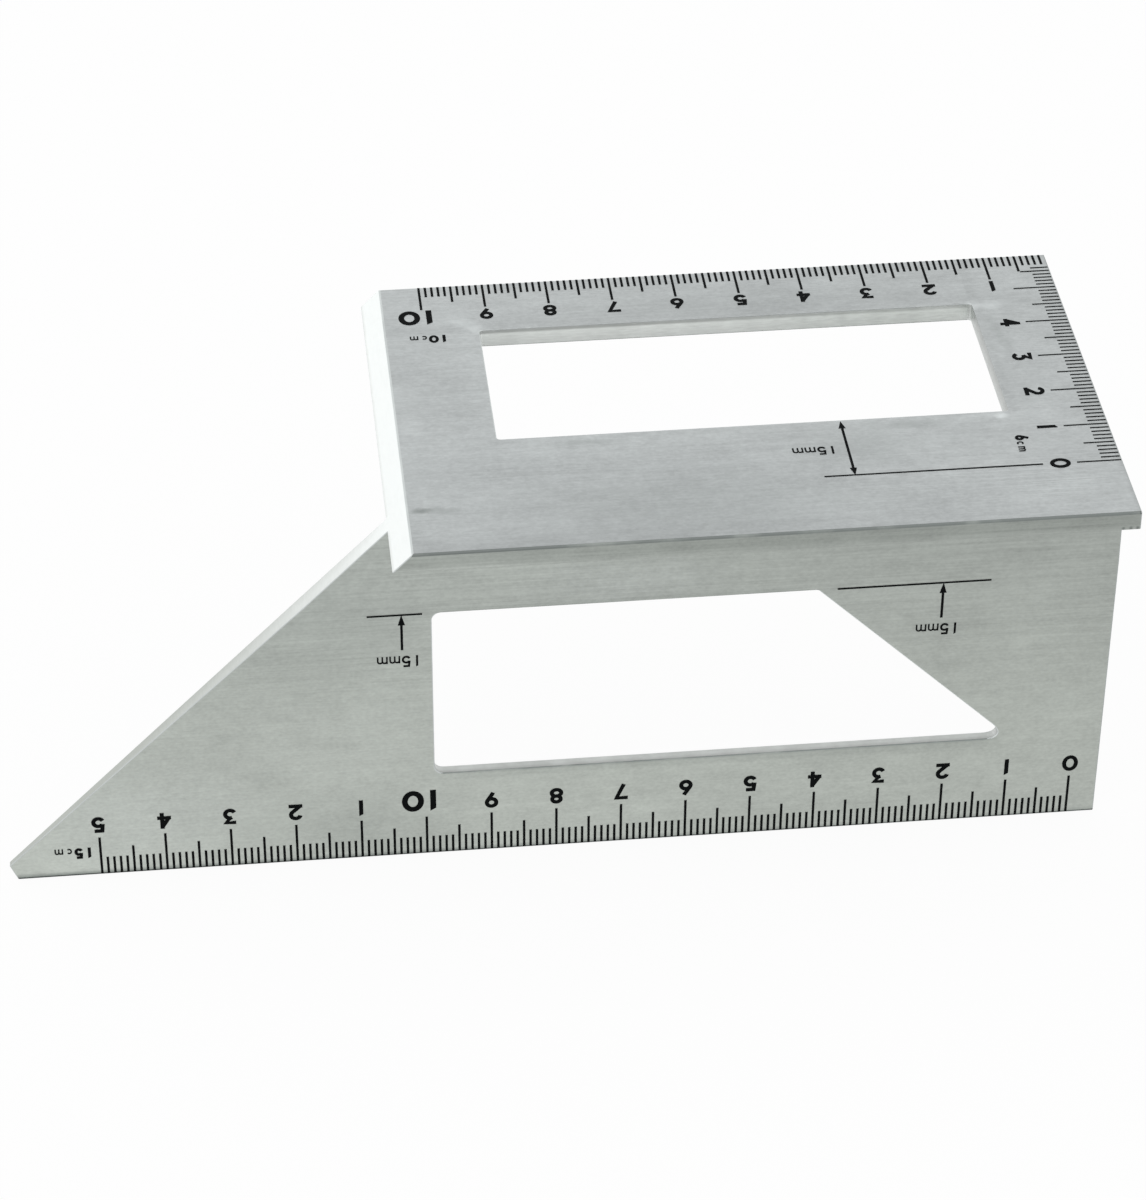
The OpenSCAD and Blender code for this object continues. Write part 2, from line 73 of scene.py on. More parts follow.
# Edges sharper than the first are broken, ones flatter than the second are dissolved, and up to
# the third the faces beside an edge are shaded as one
SHARP_ANGLE = math.radians(30)
FLAT_ANGLE = math.radians(0.5)
SMOOTH_ANGLE = math.radians(50)
# How far a large face outweighs a broken edge beside it in their shading: 50 is even, 100 most
FACE_WEIGHT = 100

FLOOR_SIZE = 8
# The lamps: how wide they are, and where they stand from the middle of the part
SIDE_LAMP_SIZE = 0.9
SIDE_LAMP_WAY = Vector((-0.75, 0.95, 0.25))
TOP_LAMP_SIZE = 1
TOP_LAMP_WAY = Vector((-0.3, -0.2, 1.2))

# The finishes of the metal section, in the order of its material slots
FINISHES = ("brushed", "shaded edge", "highlit edge", "scale edge", "upper", "cut", "end")

# Size of the patterns: how far brushing is stretched along the section, and the grain of each
ALONG = (0.014, 1, 1)
STREAK_GRAIN = 0.5 * MM
HAIR_GRAIN = 0.2 * MM
SPECK_GRAIN = 0.4 * MM
MOTTLE_GRAIN = 1.5 * MM
PATCH_GRAIN = 5 * MM
CLOUD_GRAIN = 30 * MM
SCRATCH_GRAIN = 0.16 * MM
MILL_GRAIN = 0.3 * MM
WAVE_GRAIN = 4 * MM
WEAR_GRAIN = 1.2 * MM
INK_GRAIN = 0.12 * MM

# The darkest and the lightest tone of brushed and of milled metal, as shares of its colour
BRUSHED_SPREAD = (0.76, 1.24)
MILLED_SPREAD = (0.86, 1.12)
# How much the roughness follows the tone, and the depth of the grooves and how much they show
ROUGHNESS_SPREAD = 0.15
GROOVE_DEPTH = 0.01 * MM
GROOVE_STRENGTH = 0.15


def screen(red, green, blue):
    """A colour as it shows on a screen, from 0 to 255, in Blender's linear values."""
    shares = [level / 255 for level in (red, green, blue)]
    return tuple(s / 12.92 if s <= 0.04045 else ((s + 0.055) / 1.055) ** 2.4 for s in shares)


def length(name, description, default):
    return FloatProperty(
        name=name,
        description=description,
        default=default,
        min=0,
        unit="LENGTH",
        subtype="DISTANCE",
        precision=5,
    )


def colour(name, description, default):
    return FloatVectorProperty(
        name=name, description=description, default=default, size=3, min=0, max=1, subtype="COLOR"
    )


def share(name, description, default):
    return FloatProperty(
        name=name, description=description, default=default, min=0, max=1, subtype="FACTOR"
    )


def power(name, description, default):
    return FloatProperty(name=name, description=description, default=default, min=0, unit="POWER")


class SectionSizes(bpy.types.PropertyGroup):
    """The drawn metal section and its slanted end."""

    plate_thickness: length("Plate thickness", "Thickness of the plate and its lip", BODY_HIGH.z)
    plate_depth: length("Plate depth", "Depth of the plate behind the fence", BODY_HIGH.y)
    plate_length: length("Plate length", "Length of the upper surface", 106.2 * MM)
    lip_depth: length("Lip depth", "Depth of the lip, from the fence's rear face", -BODY_LOW.y)
    fence_height: length("Fence height", "Height of the fence under the plate", -BODY_LOW.z)
    fence_thickness: length("Fence thickness", "Thickness of the fence under the plate", 3.4 * MM)
    straight_height: length("Straight height", "Height of the fence above its taper", 13 * MM)
    scale_edge: length("Scale edge", "Thickness of the fence at its scale edge", 1 * MM)
    slant: FloatProperty(
        name="Slant",
        description="Slope of the left end, from the scale edge",
        default=math.radians(45),
        subtype="ANGLE",
        unit="ROTATION",
    )
    tip_cut: length("Tip cut", "Length taken off each side of the long tip", 4 * MM)
    facet_height: length("Facet height", "Height of the facet along the scale edge", 0.4 * MM)
    facet_depth: length("Facet depth", "How far the facet leans back", 0.1 * MM)
    drawn_break: length("Drawn break", "Break along the plate's long edges", 0.35 * MM)
    cut_break_share: share("Cut break share", "Break of the cut edges, over the drawn one", 0.4)
    edge_steps: IntProperty(
        name="Edge steps", description="Faces across a broken edge", default=3, min=1, max=6
    )


class WindowSizes(bpy.types.PropertyGroup):
    """The window in the plate and the one in the fence."""

    gauge: length("Gauge distance", "Distance from each stop face to its window", 15 * MM)
    plate_left: length("Plate window left", "Plate to the left of its window", 14.7 * MM)
    plate_right: length("Plate window right", "Plate to the right of its window", 14.2 * MM)
    plate_back: length("Plate window back", "Plate behind its window", 13.8 * MM)
    plate_radius: length("Plate window radius", "Radius of its corners", 0.6 * MM)
    fence_left: length("Fence window left", "From the end of the upper surface", 3.2 * MM)
    fence_right: length("Fence window right", "Fence to the right of its foot", 14.3 * MM)
    fence_band: length("Fence window foot", "Height of the fence under its window", 16 * MM)
    fence_radius: length("Fence window radius", "Radius of its square corners", 1.4 * MM)
    acute_radius: length("Acute radius", "Radius of its acute corner", 1.7 * MM)
    wide_radius: length("Wide radius", "Radius of its wide corner", 0.8 * MM)
    corner_steps: IntProperty(
        name="Corner steps", description="Faces round a corner", default=10, min=2, max=24
    )


class FinishLook(bpy.types.PropertyGroup):
    """Colours and gloss of the metal and the print."""

    plate_colour: colour("Plate colour", "Brushed upper face of the plate", screen(186, 190, 190))
    # The fence's and lip's colours carry painted shade: the fence is darker close under the plate
    # than at its foot, and the lip's front is darker still
    fence_colour: colour("Fence colour", "Brushed fence, under the plate", screen(181, 186, 181))
    foot_colour: colour("Foot colour", "Brushed fence, down at its scale", screen(183, 188, 182))
    lip_colour: colour("Lip colour", "Front of the lip", screen(166, 171, 166))
    cut_colour: colour("Cut colour", "Milled window walls and right end", screen(232, 235, 233))
    # Painted reflection: the slanted end goes from the end colour at the plate down to the darker
    # tip colour
    end_colour: colour("End colour", "Slanted end at the plate", screen(240, 243, 242))
    tip_colour: colour("Tip colour", "Slanted end at its tip", screen(184, 188, 183))
    # Painted shade and highlight: broken edges facing the front are painted dark, the others light
    shaded_edge: colour("Dark edge", "Broken edges on the front side", screen(120, 125, 123))
    highlit_edge: colour("Light edge", "The other broken edges", screen(205, 210, 209))
    # Painted shade: the facet along the scale edge is painted dark
    scale_edge: colour("Scale edge", "Dark facet along the scale edge", screen(76, 81, 79))
    light_colour: colour("Bright colour", "Places rubbed bright", screen(222, 227, 227))
    # Stains, and on the fence the painted shade by its window and along its foot
    stain_and_shade_colour: colour("Stain colour", "Stains and dull places", screen(122, 128, 125))
    ink_colour: colour("Ink colour", "Printed scales and marks", screen(4, 6, 7))
    worn_ink_colour: colour("Worn ink colour", "Thin places in the print", screen(28, 31, 32))
    brushed_roughness: share("Brushed roughness", "Roughness of the brushed faces", 0.5)
    cut_roughness: share("Cut roughness", "Roughness of the milled faces", 0.5)
    ink_roughness: share("Ink roughness", "Roughness of the print", 0.7)
    ink_sheen: share("Ink sheen", "How strongly the print reflects", 0.06)


class StageLook(bpy.types.PropertyGroup):
    """The photograph's view, and the studio."""

    camera_place: FloatVectorProperty(
        name="Camera place",
        description="Where the camera stands",
        default=(-133.61 * MM, -508.27 * MM, 343.51 * MM),
        size=3,
        unit="LENGTH",
        subtype="TRANSLATION",
    )
    camera_turn: FloatVectorProperty(
        name="Camera turn",
        description="How the camera is turned, in XYZ order",
        default=tuple(math.radians(angle) for angle in (54.833, 0.044, -5.866)),
        size=3,
        unit="ROTATION",
        subtype="EULER",
    )
    focal_length: FloatProperty(
        name="Focal length",
        description="In millimetres, on a 36 mm sensor",
        default=125.92,
        unit="CAMERA",
    )
    floor_colour: colour("Floor colour", "The pale floor", (0.86, 0.86, 0.86))
    floor_glow: share("Floor glow", "How far camera and metal see the floor as plain white", 0.94)
    room_light: FloatProperty(
        name="Room light", description="Light from all round", default=0.9, min=0
    )
    side_lamp: power("Side lamp", "Power of the lamp on the left", 0.7)
    top_lamp: power("Top lamp", "Power of the lamp above", 1.5)


class Value:
    """A socket that can be reckoned with: each operator adds its Math node."""

    def __init__(self, nodes, link):
        self.nodes = nodes
        self.link = link

    def math(self, operation, *values):
        return self.nodes.add("ShaderNodeMath", {"operation": operation}, values)

    def __add__(self, other):
        return self.math("ADD", self, other)

    def __sub__(self, other):
        return self.math("SUBTRACT", self, other)

    def __mul__(self, other):
        return self.math("MULTIPLY", self, other)

    def __rsub__(self, other):
        return self.math("SUBTRACT", other, self)

    __radd__ = __add__
    __rmul__ = __mul__

    def held(self):
        """The same value, kept from 0 to 1."""
        return self.nodes.add("ShaderNodeClamp", {}, [self])


class Nodes:
    """The node tree of a material or of the world."""

    def __init__(self, owner):
        owner.use_nodes = True
        self.tree = owner.node_tree
        self.tree.nodes.clear()

    def add(self, kind, settings, values, output=0):
        """Add a node: its own settings, then its sockets' values in order, by name or number."""
        node = self.tree.nodes.new(kind)
        for name, setting in settings.items():
            setattr(node, name, setting)
        pairs = values.items() if isinstance(values, dict) else enumerate(values)
        for socket, value in pairs:
            self.give(node.inputs[socket], value)
        return Value(self, node.outputs[output]) if len(node.outputs) else node

    def give(self, socket, value):
        if isinstance(value, Value):
            self.tree.links.new(value.link, socket)
        else:
            socket.default_value = value

    def place(self):
        return self.add("ShaderNodeTexCoord", {}, {}, "Object")

    def along(self, place, axis):
        """How far a place lies along an axis."""
        return self.add("ShaderNodeSeparateXYZ", {}, [place], axis)

    def vector(self, operation, *values, output="Vector"):
        return self.add("ShaderNodeVectorMath", {"operation": operation}, values, output)

    def noise(self, place, stretch, grain, detail, output="Fac"):
        """Noise from 0 to 1, stretched along each axis, with its grain in metres."""
        stretched = self.add("ShaderNodeMapping", {}, {"Vector": place, "Scale": stretch})
        values = {"Vector": stretched, "Scale": 1 / grain, "Detail": detail}
        return self.add("ShaderNodeTexNoise", {}, values, output)

    def ragged(self, place, grain, shift):
        """The place, pushed about by noise, so that a spot on it gets an uneven outline."""
        push = self.noise(place, (1, 1, 1), grain, 3, "Color")
        centred = self.vector("SUBTRACT", push, (0.5, 0.5, 0.5))
        return self.vector("MULTIPLY_ADD", centred, (shift, shift, shift), place)

    def spot(self, place, centre, reach, turn=0):
        """A soft spot, from 1 at its centre to 0 at its reach along each axis, turned about Z."""
        values = {"Vector": place, "Location": centre, "Rotation": (0, 0, turn), "Scale": reach}
        local = self.add("ShaderNodeMapping", {"vector_type": "TEXTURE"}, values)
        return 1 - self.ramp(self.vector("LENGTH", local, output="Value"), 0.1, 1)

    def spots(self, place, marks):
        """Soft spots together, each given by its strength, centre, reach and turn in degrees."""
        values = [
            self.spot(place, centre, reach, math.radians(turn)) * strength
            for strength, centre, reach, turn in marks
        ]
        return sum(values[1:], values[0])

    def ramp(self, value, low, high):
        """0 below low, 1 above high, and a soft step between."""
        settings = {"interpolation_type": "SMOOTHSTEP", "clamp": True}
        values = {"Value": value, "From Min": low, "From Max": high, "To Min": 0, "To Max": 1}
        return self.add("ShaderNodeMapRange", settings, values)

    def band(self, value, rise, fall):
        """1 between two soft steps, and 0 outside them. Each step is given by its low and high."""
        return self.ramp(value, *rise) * (1 - self.ramp(value, *fall))

    def scaled(self, base, part):
        """A colour, made darker or lighter by a share."""
        values = {"Vector": base, "Scale": part}
        return self.add("ShaderNodeVectorMath", {"operation": "SCALE"}, values)

    def blend(self, factor, first, second):
        """A colour between two, which are colours of three numbers or sockets."""
        settings = {"data_type": "RGBA", "clamp_factor": True}
        colours = [c if isinstance(c, Value) else (*c, 1) for c in (first, second)]
        values = {0: factor, 6: colours[0], 7: colours[1]}
        return self.add("ShaderNodeMix", settings, values, 2)

    def bump(self, height, strength):
        values = {"Height": height, "Distance": GROOVE_DEPTH, "Strength": strength}
        return self.add("ShaderNodeBump", {}, values)

    def surface(self, values):
        """Finish a material with a Principled shader."""
        shader = self.add("ShaderNodeBsdfPrincipled", {}, values)
        self.add("ShaderNodeOutputMaterial", {}, {"Surface": shader})

    def metal(self, base, roughness, grooves=None, strength=GROOVE_STRENGTH):
        """Finish a material as metal, with grooves where they are given."""
        values = {"Base Color": base, "Metallic": 1, "Roughness": roughness.held()}
        if grooves:
            values["Normal"] = self.bump(grooves, strength)
        self.surface(values)


def new_material(name):
    material = bpy.data.materials.new(name)
    return material, Nodes(material)


def brushed_tone(nodes, place, streaky):
    """Brushing along the section, specks and cloudy patches, as one value around 0.

    Streaky says how much of it is brushing. The brushing alone comes second, for the grooves.
    """
    streaks = nodes.noise(place, ALONG, STREAK_GRAIN, 3)
    hairs = nodes.noise(place, ALONG, HAIR_GRAIN, 2)
    specks = nodes.noise(place, (0.6, 1, 1), SPECK_GRAIN, 2)
    mottles = nodes.noise(place, (0.6, 1, 1), MOTTLE_GRAIN, 3)
    patches = nodes.noise(place, (0.5, 1, 1), PATCH_GRAIN, 4)
    clouds = nodes.noise(place, (0.7, 1, 1), CLOUD_GRAIN, 3)
    brushing = streaks + hairs
    fine = (brushing - 1) * streaky + (specks - 0.5) * 0.7
    coarse = (mottles - 0.5) * 0.45 + (patches - 0.5) * 0.6 + (clouds - 0.5) * 0.5
    return fine + coarse, brushing


def below_plate(nodes, z, fade):
    """1 on the fence and 0 on the plate, with a soft step close under the plate."""
    return 1 - nodes.ramp(z, -fade, 0)


def toned(base, *shares):
    """Copies of a colour, each made darker or lighter by a share."""
    return [tuple(level * part for level in base) for part in shares]


def plate_window_box(section, windows):
    """Low and high corner of the plate's window, on the upper face."""
    top = section.plate_thickness
    low = Vector((-section.plate_length + windows.plate_left, windows.gauge, top))
    high = Vector((-windows.plate_right, section.plate_depth - windows.plate_back, top))
    return low, high


def fence_window_box(section, windows):
    """Low and high corner of the fence's window, and X where its slant meets its top."""
    left = -section.plate_length + windows.fence_left
    low = Vector((left, 0, windows.fence_band - section.fence_height))
    high = Vector((-windows.fence_right, 0, -windows.gauge))
    return low, high, high.x - (high.z - low.z) / math.tan(section.slant)


def upper_face_finish(section, windows, look):
    """The brushed upper face, rubbed bright at its window's corners, with stains and painted
    shade.

    It is painted darker, as shade, along its front, most so on the left, close behind its
    window, close to the right of it, and at the right end.
    """
    material, nodes = new_material("brushed_upper_face")
    place = nodes.place()
    x, y = nodes.along(place, "X"), nodes.along(place, "Y")
    tone, grooves = brushed_tone(nodes, place, streaky=0.4)
    low, high = plate_window_box(section, windows)
    uneven = nodes.ragged(place, 2.5 * MM, 3 * MM)

    def at(corner_x, corner_y, right, back):
        """A place on the upper face, so many millimetres from a corner of the window."""
        return (corner_x + right * MM, corner_y + back * MM, section.plate_thickness)

    def reach(along, across):
        return (along * MM, across * MM, section.plate_thickness)

    rubbed = (
        (0.38, at(low.x, high.y, -2.5, 2.2), reach(4.5, 2), -40),
        (0.4, at(low.x, high.y, -0.4, 0.3), reach(2.4, 1.6), 0),
        (0.5, at(high.x, high.y, 0.3, -0.3), reach(2, 2.2), 0),
        (0.35, at(high.x, high.y, 3, -0.6), reach(5, 1.6), 10),
        (0.6, at(high.x, low.y, -1.6, -0.9), reach(1.9, 1.2), 0),
        (0.22, at(high.x, low.y, -4, -1), reach(6, 1), 0),
        (0.13, at(low.x, low.y, -12.8, 8), reach(3, 14), 0),
    )
    stained = (
        (0.42, at(low.x, low.y, -12.7, -18), reach(2.2, 1.3), 0),
        (0.25, at(low.x, low.y, -10, -18.2), reach(6, 1.4), 0),
        (0.22, at(high.x, high.y, 2.8, -9), reach(2, 9), 4),
        (0.22, at(low.x, low.y, 13, -2.2), reach(7, 1.7), 0),
        (0.22, at(high.x, low.y, -15, -2.2), reach(8, 1.7), 0),
        (0.16, at(low.x, low.y, 28, -20), reach(38, 13), 0),
        (0.1, at(low.x, high.y, 40, 5), reach(40, 7), 0),
        (0.04, at(low.x, low.y, -6, 14), reach(5, 12), 0),
        (0.2, at(low.x, low.y, 52, -7), reach(14, 8), 0),
    )
    scratches = nodes.ramp(nodes.noise(place, (0.01, 1, 1), SCRATCH_GRAIN, 1), 0.56, 0.7)
    scratched = scratches * nodes.spot(uneven, at(high.x, low.y, 2, -18), reach(22, 9)) * 0.5
    base = nodes.blend((0.5 + tone).held(), *toned(look.plate_colour, *BRUSHED_SPREAD))
    base = nodes.blend((nodes.spots(uneven, rubbed) + scratched).held(), base, look.light_colour)
    base = nodes.blend(nodes.spots(uneven, stained).held(), base, look.stain_and_shade_colour)

    # Painted shade: where the face is darker, and by what share
    front = -section.lip_depth
    front_half = 1 - nodes.ramp(y, 4 * MM, 14 * MM)
    at_front = 1 - nodes.ramp(y, front, front + 6 * MM)
    to_left = 1.1 - nodes.ramp(x, -section.plate_length, 0)
    behind = nodes.band(y, (high.y - 1 * MM, high.y), (high.y + 0.8 * MM, high.y + 6.8 * MM))
    beside = nodes.band(x, (high.x - 0.5 * MM, high.x), (high.x + 0.7 * MM, high.x + 2.2 * MM))
    beside = beside * nodes.ramp(y, low.y - 1 * MM, low.y)
    at_end = nodes.ramp(x, -0.9 * MM, -0.1 * MM)
    darker = (front_half * 0.05 + at_front * 0.09) * to_left
    darker = darker + (behind + beside) * 0.065 + at_end * 0.11
    base = nodes.scaled(base, 1 - darker)
    nodes.metal(base, look.brushed_roughness + tone * ROUGHNESS_SPREAD, grooves)
    return material


def brushed_finish(section, windows, look):
    """The other drawn faces, brushed along the section, with painted shade on the lip and under
    the plate.

    The fence has painted shade along its foot and at the foot and top of its window, and stains
    near the slanted end. The lip has darker spots at the right end of its lower edge.
    """
    material, nodes = new_material("brushed_sides")
    place = nodes.place()
    x, y, z = (nodes.along(place, axis) for axis in "XYZ")
    front, top, foot = -section.lip_depth, section.plate_thickness, -section.fence_height
    height = nodes.ramp(z, foot * 0.8, foot * 0.03)
    tone, grooves = brushed_tone(nodes, place, streaky=0.25 + height * 0.45)
    uneven = nodes.ragged(place, 6 * MM, 8 * MM)

    def at(left, drop):
        """A place on the fence's front, in millimetres from the right end and the plate."""
        return (-left * MM, -section.fence_thickness, -drop * MM)

    def reach(along, down):
        return (along * MM, along * MM, down * MM)

    worn = (
        (0.1, at(150, 51), reach(26, 14), 0),
        (0.04, at(122, 43), reach(42, 20), 0),
        (0.13, at(74, 11), reach(20, 7), 0),
    )
    stained = (
        (0.15, at(120, 15), reach(30, 22), 0),
        (0.1, at(116, 55), reach(32, 9), 0),
    )
    # Darker spots at the right end of the lip's lower edge
    lip_end_spots = [
        (0.8, (-left * MM, front, 0.3 * MM), (0.4 * MM, 0.5 * MM, 0.5 * MM), 0)
        for left in (0.5, 1.5, 2.6)
    ]

    # Painted shade by the fence's window and along its foot, and by what share
    low, high, corner_x = fence_window_box(section, windows)
    under_window = nodes.ramp(z, low.z - 1.7 * MM, low.z - 1 * MM)
    under_window = under_window + nodes.ramp(z, low.z - 0.55 * MM, low.z - 0.2 * MM) * 1.4
    under_window = under_window * (1 - nodes.ramp(z, low.z, low.z + 0.5 * MM))
    fading = (high.z + 0.3 * MM, high.z + 1.3 * MM)
    over_window = nodes.band(z, (high.z - 0.5 * MM, high.z), fading)
    from_left = nodes.ramp(x, low.x, low.x + 6 * MM)
    at_foot = from_left * (1 - nodes.ramp(x, high.x - 5 * MM, high.x))
    at_top = from_left * (1 - nodes.ramp(x, corner_x - 5 * MM, corner_x + 1 * MM))
    window_shade = (under_window * at_foot + over_window * at_top) * 0.13
    across = nodes.ramp(x, BODY_LOW.x, 0)
    foot_shade = 1 - nodes.ramp(z, foot + 0.3 * MM, foot + 1.2 * MM)
    foot_shade = foot_shade * (0.85 - across * 0.55)
    # Darker places: stains, the painted shade by the window and along the foot, and the spots at
    # the lip's end
    dull = nodes.spots(uneven, stained) + window_shade + foot_shade + nodes.spots(place, lip_end_spots)

    # Painted shade: the fence is darker close under the plate, and the lip's front darkest
    on_lip = 1 - nodes.ramp(y, front, front + 0.5 * MM)
    on_lip = on_lip * nodes.ramp(z, top * -0.1, top * 0.4)
    base = nodes.blend(height, look.foot_colour, look.fence_colour)
    base = nodes.blend(on_lip, base, look.lip_colour)
    base = nodes.blend(nodes.spots(uneven, worn), base, look.light_colour)
    base = nodes.blend(dull.held(), base, look.stain_and_shade_colour)
    # Painted light: the left is lighter than the right, most so close under the plate
    sideways = 1.12 - across * (0.15 + height * 0.11)
    darkest, lightest = (nodes.scaled(base, sideways * part) for part in BRUSHED_SPREAD)
    base = nodes.blend((0.5 + tone).held(), darkest, lightest)
    nodes.metal(base, look.brushed_roughness + tone * ROUGHNESS_SPREAD, grooves)
    return material


def milled_tone(nodes, place):
    """Fine marks along a cut with slow waves, as one value around 0.5, and the marks alone."""
    marks = nodes.noise(place, (0.15, 0.15, 1), MILL_GRAIN, 4)
    waves = nodes.noise(place, (1, 1, 0.4), WAVE_GRAIN, 3)
    return (0.5 + (marks - 0.5) * 1.3 + (waves - 0.5) * 0.9).held(), marks


def cut_finish(section, windows, look):
    """Milled window walls and right end, with fine marks along the cut.

    The plate's walls are painted brightest at the top, but the one on the right at its foot and
    the one at the back under its rim, and the fence's are painted darker, most so at the front.
    """
    material, nodes = new_material("milled_cut")
    place = nodes.place()
    light, marks = milled_tone(nodes, place)
    x, y, z = (nodes.along(place, axis) for axis in "XYZ")
    top = section.plate_thickness
    high = plate_window_box(section, windows)[1]
    up = nodes.ramp(z, 0, top)
    sideways = nodes.ramp(x, high.x - 60 * MM, high.x)
    on_right = nodes.ramp(x, high.x - 0.7 * MM, high.x - 0.3 * MM)
    at_back = nodes.ramp(y, high.y - 1 * MM, high.y - 0.5 * MM) * (0.48 - sideways * 0.14)
    rim = at_back * (1 - on_right) * nodes.ramp(z, top * 0.7, top * 0.85)
    # Painted light and shade in the plate and in the fence, as shares of the cut colour
    in_plate = 0.92 + up * 0.18 + sideways * 0.12 - on_right * (0.16 + up * 0.4) - rim
    in_fence = 0.58 + nodes.ramp(y, -2.1 * MM, -0.7 * MM) * 0.24
    shade = in_plate + below_plate(nodes, z, 1 * MM) * (in_fence - in_plate)
    base = nodes.scaled(nodes.blend(light, *toned(look.cut_colour, *MILLED_SPREAD)), shade)
    nodes.metal(base, look.cut_roughness + (marks - 0.5) * ROUGHNESS_SPREAD, marks)
    return material


def end_finish(section, look):
    """The slanted end, painted as a reflection, bright at the plate and darker down to its tip.

    A painted shadow darkens the plate's lower rim beside the fence. The marks of the cut are
    faint.
    """
    material, nodes = new_material("slanted_end")
    place = nodes.place()
    light, marks = milled_tone(nodes, place)
    y, z = nodes.along(place, "Y"), nodes.along(place, "Z")
    front = -section.fence_thickness
    height = (z * (1 / section.fence_height) + 1).held()
    on_fence = below_plate(nodes, z, 3 * MM)
    inwards = nodes.ramp(y, front + 1 * MM, 0)
    beside_fence = nodes.ramp(y, 0, 0.3 * MM) + 1 - nodes.ramp(y, front - 0.3 * MM, front)
    rim = beside_fence * (1 - nodes.ramp(z, 0.15 * MM, 0.5 * MM))
    # Painted reflection and shade: how far the tone falls from the plate's to the tip's, more on
    # the fence towards its rear
    fall = 1 - height.math("POWER", height, 2.3) + on_fence * (0.02 + inwards * 0.14) + rim * 0.2
    fall = (fall + (light - 0.5) * 0.1).held()
    base = nodes.blend(fall, look.end_colour, look.tip_colour)
    nodes.metal(base, look.cut_roughness + (marks - 0.5) * 0.1, marks, 0.1)
    return material


def edge_finish(name, edge_colour, worn_colour, to_right, on_fence=0):
    """Broken edges, with places worn to another tone, and painted shade at the right end.

    They are painted lighter to the right by one share and on the fence by another.
    """
    material, nodes = new_material(name)
    place = nodes.place()
    x, z = nodes.along(place, "X"), nodes.along(place, "Z")
    wear = nodes.noise(place, (0.2, 0.2, 0.2), WEAR_GRAIN, 4)
    at_end = nodes.ramp(x, -0.4 * MM, -0.2 * MM)
    shade = 0.94 + nodes.ramp(x, BODY_LOW.x, 0) * to_right - at_end * 0.45
    shade = shade + below_plate(nodes, z, 3 * MM) * on_fence
    edge = nodes.blend(nodes.ramp(wear, 0.45, 0.75) * 0.4, edge_colour, worn_colour)
    nodes.metal(nodes.scaled(edge, shade), 0.36 + wear * 0.2)
    return material


def ink_finish(look):
    """Printed ink, a little thin in places."""
    material, nodes = new_material("printed_ink")
    grain = nodes.noise(nodes.place(), (1, 1, 1), INK_GRAIN, 3)
    thin = nodes.ramp(grain, 0.5, 0.8)
    values = {
        "Base Color": nodes.blend(thin, look.ink_colour, look.worn_ink_colour),
        "Roughness": (look.ink_roughness + (grain - 0.5) * 0.2).held(),
        "Specular IOR Level": look.ink_sheen,
        "Normal": nodes.bump(grain, 0.2),
    }
    nodes.surface(values)
    return material


def deselect():
    if bpy.context.mode != "OBJECT":
        bpy.ops.object.mode_set(mode="OBJECT")
    bpy.ops.object.select_all(action="DESELECT")


def select_only(piece):
    deselect()
    bpy.context.view_layer.objects.active = piece
    piece.select_set(True)


def edit(piece):
    """Open one piece in edit mode, with all of it selected."""
    select_only(piece)
    bpy.ops.object.mode_set(mode="EDIT")
    bpy.ops.mesh.select_all(action="SELECT")


def pick(kind, test):
    """Select the faces or edges of the open piece that pass a test."""
    bpy.ops.mesh.select_mode(type=kind)
    bpy.ops.mesh.select_all(action="DESELECT")
    mesh = bpy.context.object.data
    shape = bmesh.from_edit_mesh(mesh)
    parts = shape.faces if kind == "FACE" else shape.edges
    found = [part for part in parts if test(part)]
    for part in found:
        part.select_set(True)
    bmesh.update_edit_mesh(mesh)
    if not found:
        raise RuntimeError(f"nothing to pick in {bpy.context.object.name}")


def add_block(name, low, high):
    """A block between two corners, with its place in its mesh."""
    deselect()
    low, high = Vector(low), Vector(high)
    bpy.ops.mesh.primitive_cube_add(size=1, location=(low + high) / 2, scale=high - low)
    block = bpy.context.object
    block.name = block.data.name = name
    bpy.ops.object.transform_apply(location=True, rotation=True, scale=True)
    return block


def middle(edge):
    return (edge.verts[0].co + edge.verts[1].co) / 2


def runs_along(edge, axis):
    way = edge.verts[1].co - edge.verts[0].co
    return abs(way[axis]) > way.length * RUNS_ALONG


def round_corner(axis, place, tangent, steps):
    """Round the edge of the open piece that runs along an axis through a place.

    Tangent is how far from the edge the round starts.
    """
    across = [i for i in range(3) if i != axis]

    def gap(edge):
        return max(abs(middle(edge)[i] - place[i]) for i in across)

    pick("EDGE", lambda edge: runs_along(edge, axis) and gap(edge) < NEAR)
    bpy.ops.mesh.bevel(offset=tangent, segments=steps, affect="EDGES")


def finish_with(piece, kind, **settings):
    """Give a piece a modifier with these settings, and apply it."""
    select_only(piece)
    bpy.ops.object.modifier_add(type=kind)
    modifier = piece.modifiers[-1]
    for name, setting in settings.items():
        setattr(modifier, name, setting)
    bpy.ops.object.modifier_apply(modifier=modifier.name)


def cut_away(piece, cutter):
    """Take a cutter out of a piece."""
    finish_with(piece, "BOOLEAN", operation="DIFFERENCE", solver="EXACT", object=cutter)
    select_only(cutter)
    bpy.ops.object.delete()


